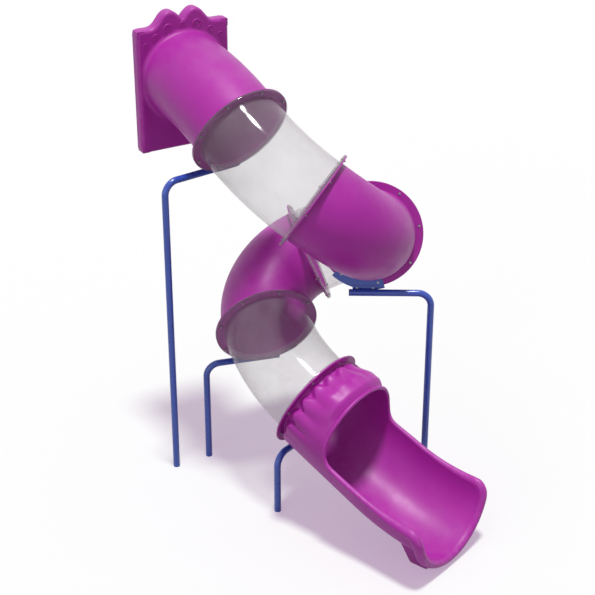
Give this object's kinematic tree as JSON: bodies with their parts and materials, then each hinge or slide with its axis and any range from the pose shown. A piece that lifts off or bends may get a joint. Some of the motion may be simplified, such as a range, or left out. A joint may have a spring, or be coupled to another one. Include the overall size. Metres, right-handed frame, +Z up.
{
  "type": "spiral tube slide",
  "caption": "Playground tube slide that turns left from a moulded entrance panel through purple and clear sections to an open exit chute, on bent blue pipe posts.",
  "frame": {"origin": "middle of the slide's footprint, on the ground", "axes": "+Z up; +X is the way the rider leaves the deck; the tube turns left, towards +Y, +X again at the exit"},
  "size_m": [3.4472, 2.0809, 4.025],
  "materials": {
    "purple_plastic": "satin rotomoulded polyethylene",
    "clear_plastic": "clear polycarbonate, lightly hazed",
    "blue_steel": "gloss powder coat",
    "cap_plastic": "matt",
    "zinc_bolts": "zinc plated"
  },
  "bodies": {
    "root": {"entrance_panel": "purple_plastic", "upper_clear_tube": "clear_plastic", "right_elbow": "purple_plastic", "rear_clear_elbow": "clear_plastic", "left_elbow": "purple_plastic", "lower_clear_tube": "clear_plastic", "exit_chute": "purple_plastic", "exit_foot": "purple_plastic", "tall_post": "blue_steel", "tall_arm_cap": "cap_plastic", "tall_saddle": "blue_steel", "tall_arm_lug": "blue_steel", "tall_lug_bolt_1": "zinc_bolts", "tall_lug_bolt_2": "zinc_bolts", "right_post": "blue_steel", "right_arm_cap": "cap_plastic", "right_saddle": "blue_steel", "right_arm_lug": "blue_steel", "right_lug_bolt_1": "zinc_bolts", "right_lug_bolt_2": "zinc_bolts", "left_post": "blue_steel", "left_arm_cap": "cap_plastic", "left_saddle": "blue_steel", "left_arm_lug": "blue_steel", "left_lug_bolt_1": "zinc_bolts", "left_lug_bolt_2": "zinc_bolts", "short_post": "blue_steel", "short_arm_cap": "cap_plastic", "short_saddle": "blue_steel", "short_arm_lug": "blue_steel", "short_lug_bolt_1": "zinc_bolts", "short_lug_bolt_2": "zinc_bolts", "upper_flange_bolt_1": "zinc_bolts", "upper_flange_bolt_2": "zinc_bolts", "upper_flange_bolt_3": "zinc_bolts", "upper_flange_bolt_4": "zinc_bolts", "middle_flange_bolt_1": "zinc_bolts", "middle_flange_bolt_2": "zinc_bolts", "middle_flange_bolt_3": "zinc_bolts", "middle_flange_bolt_4": "zinc_bolts", "right_flange_bolt_1": "zinc_bolts", "right_flange_bolt_2": "zinc_bolts", "right_flange_bolt_3": "zinc_bolts", "right_flange_bolt_4": "zinc_bolts", "rear_flange_bolt_1": "zinc_bolts", "rear_flange_bolt_2": "zinc_bolts", "rear_flange_bolt_3": "zinc_bolts", "rear_flange_bolt_4": "zinc_bolts", "left_flange_bolt_1": "zinc_bolts", "left_flange_bolt_2": "zinc_bolts", "left_flange_bolt_3": "zinc_bolts", "left_flange_bolt_4": "zinc_bolts", "exit_flange_bolt_1": "zinc_bolts", "exit_flange_bolt_2": "zinc_bolts", "exit_flange_bolt_3": "zinc_bolts", "exit_flange_bolt_4": "zinc_bolts"}
  },
  "joints": []
}
